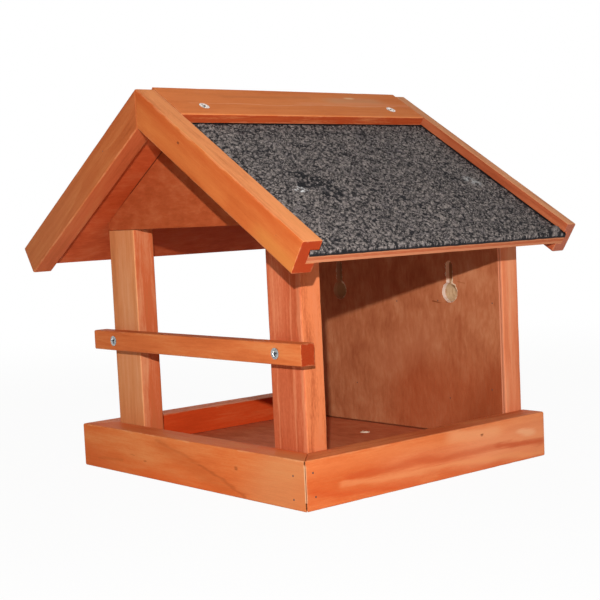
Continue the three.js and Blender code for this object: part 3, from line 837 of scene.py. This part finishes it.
def felt_material(name, side):
    paint = Finish(name)
    dim, clear, *tones = (srgb(code) for code in FELT_TONES)
    light, pit_and_shade, painted_glint = (paint.layer(layer) for layer in ("light", "pit_and_shade", "painted_glint"))
    long_way = DOWN[side] * LEAN_DOWN - Y * LEAN_FORWARD
    cross_way = DOWN[side] * LEAN_FORWARD + Y * LEAN_DOWN
    place = paint.place(paint.along(long_way / FLAKE_STRETCH), paint.along(cross_way), paint.along(OUT[side]))
    patches = paint.rise(paint.noise(place, 0.4, 2.0), -0.12, 0.1)
    gaps = paint.rise(abs(paint.noise(place, 0.6, 2.0, 0.6)), 0.12, 0.04) * patches
    chips = paint.rise(paint.noise(paint.vector("ADD", place, (70, 30, 10)), 0.85, 2.0, 0.55), 0.07, 0.17)
    threads = paint.rise(abs(paint.noise(place, 0.8, 3.0, 0.6)), 0.06, 0.01)
    grain = paint.noise(place, 1.3, 4.0, 0.7)
    hue = paint.noise(paint.spot, 0.18, 2.0)
    colour = paint.mix(paint.rise(light + grain * 0.9, 0.05, 0.9, "LINEAR"), dim, clear)
    # Violet, threads, chips and gaps, then crevices and their depths as bitumen with painted shade, then
    # painted glints
    shares = (paint.rise(hue, 0.0, 0.3) * 0.35, threads * 0.45, chips * 0.75, gaps * 0.9,
              paint.rise(pit_and_shade, 0.1, 0.7), paint.rise(pit_and_shade, 0.85, 1.0) * 0.7, painted_glint)
    for share, tone in zip(shares, tones):
        colour = paint.mix(share, colour, tone)
    rough = 0.82 - painted_glint * 0.45 + grain * 0.2
    height = grain + chips * 0.5 - gaps * 0.5
    return paint.surface(colour, rough, height, FELT_RELIEF, Specular_IOR_Level=FELT_GLOSS)


for side, seed in (("right", 7), ("left", 8)):
    felt(side, felt_material(f"slate_felt_{side}", side), seed)


# Screws and brads
SCREW_SIDES, CROWN_RINGS = 64, 20
HEAD_RADIUS, CROWN_RISE, CONE_DEPTH = 4.0, 0.5, 2.4
SHANK_RADIUS, POINT_LENGTH = 1.75, 4.0
RECESS_DEPTH, RECESS_REACH, RECESS_HALF = 1.3, 2.35, 0.52
PERCH_SCREW_LENGTH, RIDGE_SCREW_LENGTH = 26, 14.5
BRAD_SIDES, BRAD_PROUD = 14, 0.14
# A brad's rings: share of its radius, and height over the wood
BRAD_PROFILE = ((0.55, BRAD_PROUD), (0.85, 0.10), (1.0, 0.0), (0.95, -0.3), (0.6, -0.5), (0.6, -8.0))
# Painted shade in a screw's cross recess, then the colours of steel and rust
RECESS_PAINTED_SHADE, STEEL_TONE, RUST_TONE = srgb("343b44"), srgb("443c3a"), srgb("553424")


def circle(count):
    """The cosine and sine of evenly spaced angles."""
    angles = (2 * math.pi * k / count for k in range(count))
    return [(math.cos(angle), math.sin(angle)) for angle in angles]


def skin(bm, rings):
    """Faces between rings of points, of which the last may be a single point."""
    for ring, after in zip(rings, rings[1:]):
        for k in range(len(ring)):
            ends = (after[k], after[k - 1]) if len(after) > 1 else after
            bm.faces.new((ring[k - 1], ring[k], *ends))


def smooth(value, low, high):
    return eased(min(1.0, max(0.0, (value - low) / (high - low))))


def arm(across, along):
    return (smooth(abs(across), RECESS_HALF + 0.22, RECESS_HALF - 0.1)
            * smooth(abs(along), RECESS_REACH + 0.3, RECESS_REACH - 0.7))


def screw(node, length, facing, turn, material):
    """A countersunk screw with a cross recess: crown, rim, cone, shank and point in one skin."""
    points = points_of(node)
    reach = points @ np.array(facing)
    middle = Vector(points[reach > reach.max() - 0.02].mean(axis=0))
    seat = middle - facing * CROWN_RISE
    basis = facing.to_track_quat("Z", "Y").to_matrix() @ Matrix.Rotation(turn, 3, "Z")
    profile = [(HEAD_RADIUS * i / CROWN_RINGS, None) for i in range(1, CROWN_RINGS + 1)]
    profile += [(HEAD_RADIUS - 0.05, -0.25), (SHANK_RADIUS, -CONE_DEPTH)]
    profile += [(SHANK_RADIUS, POINT_LENGTH - length), (0.35, -length + 0.3)]
    bm = bmesh.new()
    sunk = bm.verts.layers.float.new("sunk")

    def point(x, y, z):
        return bm.verts.new((seat + basis @ Vector((x, y, z))) * MM)

    rings = []
    for radius, height in profile:
        ring = []
        for cosine, sine in circle(SCREW_SIDES):
            x, y = radius * cosine, radius * sine
            cross = max(arm(x, y), arm(y, x))
            crown = CROWN_RISE * (1 - (radius / HEAD_RADIUS) ** 2.4) - RECESS_DEPTH * cross
            ring.append(point(x, y, crown if height is None else height))
            ring[-1][sunk] = cross
        rings.append(ring)
    bottom = point(0, 0, CROWN_RISE - RECESS_DEPTH)
    bottom[sunk] = 1.0
    skin(bm, [*rings, [point(0, 0, -length)]])
    skin(bm, [rings[0][::-1], [bottom]])
    bmesh.ops.recalc_face_normals(bm, faces=bm.faces)
    new_piece(f"{node}_zinc", bm, material, node, angle=50)


def zinc(name, dull, bright):
    paint = Finish(name)
    cloud = paint.noise(paint.spot, 0.8, 4.0, 0.6)
    colour = paint.mix(paint.rise(cloud, -0.12, 0.12), srgb(dull), srgb(bright))
    # Painted shade in the cross recess
    colour = paint.mix(paint.rise(paint.layer("sunk"), 0.2, 0.9) * 0.9, colour, RECESS_PAINTED_SHADE)
    rough = 0.28 + paint.noise(paint.spot, 3.0, 3.0) * 0.4
    return paint.surface(colour, rough, cloud, ZINC_RELIEF, Metallic=1.0)


def dark_steel(name):
    paint = Finish(name)
    rust = paint.noise(paint.spot, 1.5, 3.0)
    colour = paint.mix(paint.rise(rust, -0.05, 0.1), STEEL_TONE, RUST_TONE)
    return paint.surface(colour, 0.5 + rust * 0.3, rust, STEEL_RELIEF, Metallic=0.4)


def brads(name, places, material, radius):
    """Small round nail heads, just proud of the wood, each with a short shank."""
    bm = bmesh.new()
    for centre, facing in places:
        basis = facing.to_track_quat("Z", "Y").to_matrix()
        rings = []
        for share, height in BRAD_PROFILE:
            spokes = [Vector((radius * share * cosine, radius * share * sine, height))
                      for cosine, sine in circle(BRAD_SIDES)]
            rings.append([bm.verts.new((Vector(centre) + basis @ spoke) * MM) for spoke in spokes])
        bm.faces.new(rings[0])
        bm.faces.new(rings[-1][::-1])
        skin(bm, rings)
    bmesh.ops.recalc_face_normals(bm, faces=bm.faces)
    new_piece(name, bm, material)


def fixings():
    plated = zinc("zinc_plate", "7d848c", "b9bab6")
    # A brighter copy of the same zinc for the ridge screws: painted glint
    glint_painted_zinc = zinc("zinc_plate_glint_painted", "9c948e", "fbeee2")
    for side, turn in (("left", 0.5), ("right", 0.2)):
        screw(f"perch_screw_{side}", PERCH_SCREW_LENGTH, -Y, turn, plated)
        screw(f"ridge_screw_{side}_front", RIDGE_SCREW_LENGTH, OUT[side], 0.9 + turn, glint_painted_zinc)
        screw(f"ridge_screw_{side}_rear", RIDGE_SCREW_LENGTH, OUT[side], 0.3 + turn, glint_painted_zinc)
    steel = dark_steel("dark_steel")
    tray = [(place, -Y) for place in front((127.4, 23.6), (127.2, 7.2))]
    for sign in (-1, 1):
        tray += [((sign * TRAY_SIDE, y, z), X * sign) for y, z in ((-106, 26.1), (-104.3, 9.4))]
    brads("tray_brads", tray, steel, 0.75)
    sheet = panel((4.8, 121.5), (52.3, 122.9), (110.6, 121.9), (107.7, 52.8), (62.5, 42.8), (-48.7, 48.0),
                  (-108, 121), (-109, 52))
    brads("panel_brads", [(place, -Y) for place in sheet], steel, 0.6)
    gable = [on_slope(side, down, BARGE_FRONT + BRAD_PROUD, level) for side, down, level in
             (("right", 64.2, 9.1), ("left", 62.0, 9.5), ("right", 185, 10), ("left", 184, 10))]
    brads("barge_brads", [(place, -Y) for place in gable], steel, 0.55)


fixings()


# Torn fibres
SLIVER_STEPS = 5
SPLINTERS, SLOT_SPLINTERS, DRAIN_FIBRES = 34, 10, 60
FIBRE_PALE, FIBRE_DULL = srgb("e9d6bb"), srgb("cfa67e")


def sliver(bm, root, heading, lift, length, width, rng):
    """A tapered curl of wood that starts on the rim of a hole."""
    side = heading.cross(lift).normalized()
    bend = rng.uniform(-0.35, 0.35)
    rings = []
    for i in range(SLIVER_STEPS + 1):
        share = i / SLIVER_STEPS
        centre = root + heading * (length * share) + side * (bend * length * share * share)
        centre += lift * (length * 0.35 * share * (1 - 0.4 * share))
        half = width * (1 - share) ** 0.7 * 0.5
        corners = ((-1, 0), (0, 1), (1, 0), (0, -1)) if i < SLIVER_STEPS else ((0, 0),)
        ring = [centre + side * half * u + lift * half * 0.6 * v for u, v in corners]
        rings.append([bm.verts.new(place * MM) for place in ring])
    bm.faces.new(rings[0][::-1])
    skin(bm, rings)


def raw_fibre(name):
    paint = Finish(name)
    streak = paint.noise(paint.spot, 0.9, 3.0)
    colour = paint.mix(paint.rise(streak, -0.1, 0.2), FIBRE_PALE, FIBRE_DULL)
    return paint.surface(colour, 0.7 + streak * 0.2, streak, FIBRE_RELIEF, Specular_IOR_Level=GLOSS)


def keyhole_splinters(side, x, material, rng):
    """Splinters round a keyhole, longest over it, and along both sides of its slot."""
    bm = bmesh.new()
    for k in range(SPLINTERS):
        angle = rng.uniform(0.2, 1.3) if k % 3 else rng.uniform(-2.2, 0.2)
        rim = Vector((x + KEYHOLE_RADIUS * math.cos(angle), PANEL_FRONT + 0.2,
                      KEYHOLE_HEIGHT + KEYHOLE_RADIUS * math.sin(angle)))
        upward = math.copysign(1, math.sin(angle))
        heading = Vector((rng.uniform(-0.6, 0.4), -0.1, upward)).normalized()
        length = rng.uniform(1.6, 4.2) if k % 3 else rng.uniform(0.8, 1.8)
        sliver(bm, rim - heading * 1.4, heading, -Y, length, rng.uniform(0.3, 0.7), rng)
    for k in range(SLOT_SPLINTERS):
        edge = x + KEYHOLE_SLOT * (1 if k % 2 else -1)
        root = Vector((edge, PANEL_FRONT + 0.2, KEYHOLE_HEIGHT + rng.uniform(9, 24)))
        heading = Vector((0.2 if k % 2 else -0.2, -0.1, rng.choice([-1, 1]))).normalized()
        sliver(bm, root, heading, -Y, rng.uniform(1.5, 3.5), rng.uniform(0.3, 0.6), rng)
    new_piece(f"keyhole_splinters_{side}", bm, material)


def fibres():
    material = raw_fibre("raw_fibre")
    rng = np.random.default_rng(5)
    for side, x in zip(("left", "right"), KEYHOLE_PLACES):
        keyhole_splinters(side, x, material, rng)
    bm = bmesh.new()
    for cosine, sine in circle(DRAIN_FIBRES):
        spoke = Vector((cosine, sine, 0))
        root = Vector((*DRAIN_HOLE, FLOOR_TOP - 0.4)) + spoke * (DRAIN_HOLE_RADIUS - 0.1)
        heading = (spoke * rng.uniform(-1.4, -0.3) + Z * rng.uniform(0.3, 0.9)).normalized()
        sliver(bm, root, heading, spoke, rng.uniform(0.9, 2.2), rng.uniform(0.4, 0.8), rng)
    new_piece("drain_hole_fibres", bm, material)


fibres()


# Light, floor and background
WHITE, FLOOR_GREY = (1, 1, 1, 1), (0.8, 0.8, 0.8, 1)
AMBIENT = 0.22
AMBIENT_TINT = (1.0, 0.93, 0.84, 1.0)
FLOOR_REACH = 6.0
FLOOR_DROP = 0.1 * MM
FLOOR_GLOW = 0.95
FLOOR_FADE = (500, 1400)
# Each lamp's place, size and watts. The soft one reaches only the sides that the photograph doesn't show.
LAMPS = {
    "key_light": ((0.775, -0.673, 0.325), 0.014, 10.0),
    "rear_fill": ((-1.6, 1.6, 0.42), 0.9, 20.0),
}
LAMP_COLOUR = (1.0, 0.985, 0.965)
LAMP_AIM = Vector((0, 0, 0.15))


def studio():
    bpy.context.scene.view_settings.view_transform = "Standard"
    world = bpy.data.worlds.new("studio")
    bpy.context.scene.world = world
    world.use_nodes = True
    sky = Nodes(world.node_tree)
    seen = sky.ray("Is Camera Ray", "Is Transmission Ray", "Is Glossy Ray")
    background = world.node_tree.nodes["Background"]
    sky.feed(background.inputs["Color"], sky.mix(seen, AMBIENT_TINT, WHITE))
    sky.feed(background.inputs["Strength"], seen * (1 - AMBIENT) + AMBIENT)


def floor_paint(name):
    """White where the camera or gloss sees it, apart from the object's shadow."""
    paint = Finish(name)
    seen = paint.ray("Is Camera Ray", "Is Glossy Ray")
    far = paint.rise(paint.measure("LENGTH", paint.spot), *FLOOR_FADE)
    share = seen * (far * (1 - FLOOR_GLOW) + FLOOR_GLOW)
    glow = paint.node("ShaderNodeEmission", None, {"Color": WHITE, "Strength": 1.0})
    matt = paint.node("ShaderNodeBsdfDiffuse", None, {"Color": FLOOR_GREY})
    both = paint.node("ShaderNodeMixShader", None, {0: share, 1: matt.outputs[0], 2: glow.outputs[0]})
    paint.feed(paint.tree.nodes["Material Output"].inputs["Surface"], both.outputs[0])
    return paint.material


def ground():
    mesh = bpy.data.meshes.new("floor")
    bm = bmesh.new()
    bmesh.ops.create_grid(bm, x_segments=2, y_segments=2, size=FLOOR_REACH)
    bmesh.ops.translate(bm, verts=bm.verts, vec=(0, 0, -FLOOR_DROP))
    bm.to_mesh(mesh)
    bm.free()
    mesh.materials.append(floor_paint("pale_floor"))
    floor = linked("floor", mesh)


def lamps():
    for name, (spot, size, watts) in LAMPS.items():
        lamp = bpy.data.lights.new(name, "AREA")
        lamp.shape, lamp.size, lamp.energy = "DISK", size, watts
        lamp.color = LAMP_COLOUR
        made = linked(name, lamp)
        made.visible_glossy = name == "key_light"
        aim = (LAMP_AIM - Vector(spot)).to_track_quat("-Z", "Y")
        made.matrix_world = Matrix.Translation(spot) @ aim.to_matrix().to_4x4()


studio()
ground()
lamps()
